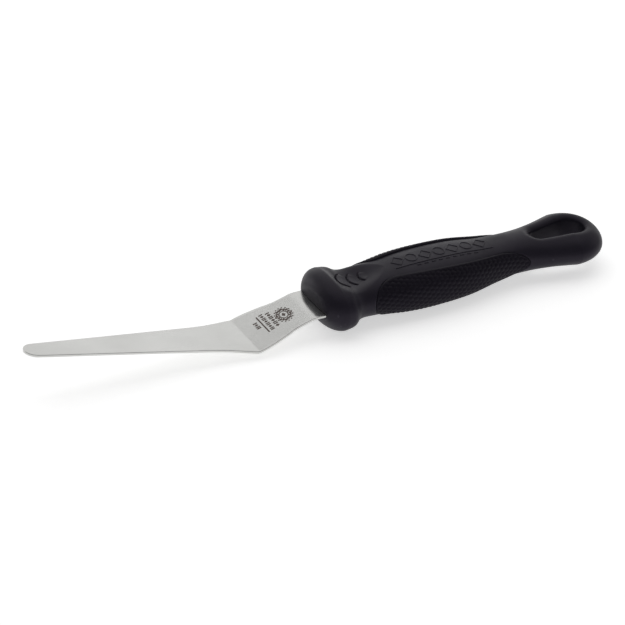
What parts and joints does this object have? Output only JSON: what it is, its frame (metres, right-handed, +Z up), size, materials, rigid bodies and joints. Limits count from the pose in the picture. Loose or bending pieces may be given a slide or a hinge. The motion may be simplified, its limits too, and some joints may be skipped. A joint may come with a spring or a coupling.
{
  "type": "palette knife",
  "caption": "Small cranked palette knife: a slim round-tipped stainless blade with an offset neck, moulded into a contoured black handle with textured grips and a hang hole.",
  "frame": {"origin": "middle of the overall length, on the surface that the knife lies on, in its plane of symmetry", "axes": "+X along the handle towards the butt, +Y across the blade, +Z up; the blade points to -X"},
  "size_m": [0.212, 0.03, 0.0187],
  "materials": {
    "steel": "satin ground along the blade",
    "smooth_plastic": "fine satin moulding",
    "grip_rubber": "matte, moulded diamond texture",
    "core_plastic": "as moulded"
  },
  "bodies": {
    "root": {"blade": "steel", "handle_core": "core_plastic", "handle_shell": "smooth_plastic", "grip_panel_left": "grip_rubber", "grip_panel_right": "grip_rubber"}
  },
  "joints": []
}
